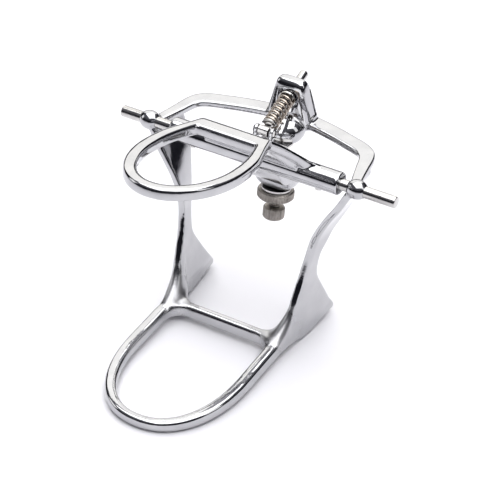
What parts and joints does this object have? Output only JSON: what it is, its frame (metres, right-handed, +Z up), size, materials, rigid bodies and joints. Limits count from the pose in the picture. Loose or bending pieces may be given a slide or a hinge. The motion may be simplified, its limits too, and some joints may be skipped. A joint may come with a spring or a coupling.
{
  "type": "dental articulator",
  "caption": "Free-plane dental articulator with looped lower and upper jaw members, a cross axle, a sprung guide pin and a knurled height stop screw.",
  "frame": {"origin": "centre of the bounding box at table level, in the pose with the upper member raised about ten degrees and shifted 2.2 mm to the right", "axes": "+X along the cross axle to the articulator's right as seen from the front, +Y from the front of the loops to the rear bow, +Z up from the table"},
  "size_m": [0.13, 0.1386, 0.113],
  "materials": {
    "chrome_casting": "polished chrome plate over a smooth casting",
    "steel": "bright turned steel",
    "spring_wire": "plated wire with a warm tint",
    "nickel": "dull knurled nickel"
  },
  "bodies": {
    "lower_frame": {"lower_ring": "chrome_casting", "upright_left": "chrome_casting", "upright_right": "chrome_casting", "rear_bow": "chrome_casting", "bow_hub": "chrome_casting", "stop_plate": "steel"},
    "axle": {"axle_rod": "steel"},
    "upper_frame": {"upper_ring": "chrome_casting", "hinge_bridge": "chrome_casting", "hinge_barrel": "chrome_casting", "screw_boss": "chrome_casting", "pin_lug_left": "chrome_casting", "pin_lug_right": "chrome_casting", "grub_screw_left": "steel", "grub_screw_right": "steel", "cross_pin": "steel"},
    "swivel": {"swivel_eye": "steel", "yaw_pin": "steel"},
    "guide_pin": {"guide_pin": "steel", "return_spring": "spring_wire", "spring_washer": "steel"},
    "height_screw": {"height_screw": "nickel"},
    "screw_knob": {"screw_knob": "nickel", "knob_set_screw": "steel"},
    "lock_washer": {"lock_washer": "steel"},
    "lock_nut": {"lock_nut": "nickel"}
  },
  "joints": [
    {"name": "side_slide", "type": "slide", "parent": "lower_frame", "child": "axle", "axis": [1, 0, 0], "range_m": [-0.0054, 0.001]},
    {"name": "opening", "type": "hinge", "parent": "axle", "child": "upper_frame", "pos_m": [0, 0.02331, 0.079], "axis": [-1, 0, 0], "range_deg": [0, 70]},
    {"name": "pin_pitch", "type": "hinge", "parent": "upper_frame", "child": "swivel", "pos_m": [0, 0.03029, 0.0869], "axis": [1, 0, 0], "range_deg": [0, 96]},
    {"name": "pin_yaw", "type": "hinge", "parent": "swivel", "child": "guide_pin", "pos_m": [0, 0.03464, 0.08758], "axis": [0, -0.1545, 0.988], "range_deg": [-13.9, 2.7]},
    {"name": "screw_travel", "type": "slide", "parent": "upper_frame", "child": "height_screw", "axis": [0, 0.1743, 0.9847], "range_m": [-0.004, 0]},
    {"name": "knob_turn", "type": "hinge", "parent": "height_screw", "child": "screw_knob", "pos_m": [0, 0.03836, 0.04181], "axis": [0, 0.1743, 0.9847], "range_deg": [-1801, 1]},
    {"name": "washer_travel", "type": "slide", "parent": "upper_frame", "child": "lock_washer", "axis": [0, 0.1743, 0.9847], "range_m": [-0.0016, 0]},
    {"name": "lock_nut_turn", "type": "hinge", "parent": "lock_washer", "child": "lock_nut", "pos_m": [0, 0.03992, 0.05067], "axis": [0, 0.1743, 0.9847], "range_deg": [-721, 1]}
  ],
  "couplings": [
    {"joint": "pin_pitch", "follows": "opening", "ratio": 1.365},
    {"joint": "pin_yaw", "follows": "side_slide", "rad_per_m": 44.4},
    {"joint": "knob_turn", "follows": "screw_travel", "rad_per_m": 7854},
    {"joint": "lock_nut_turn", "follows": "washer_travel", "rad_per_m": 7854}
  ]
}
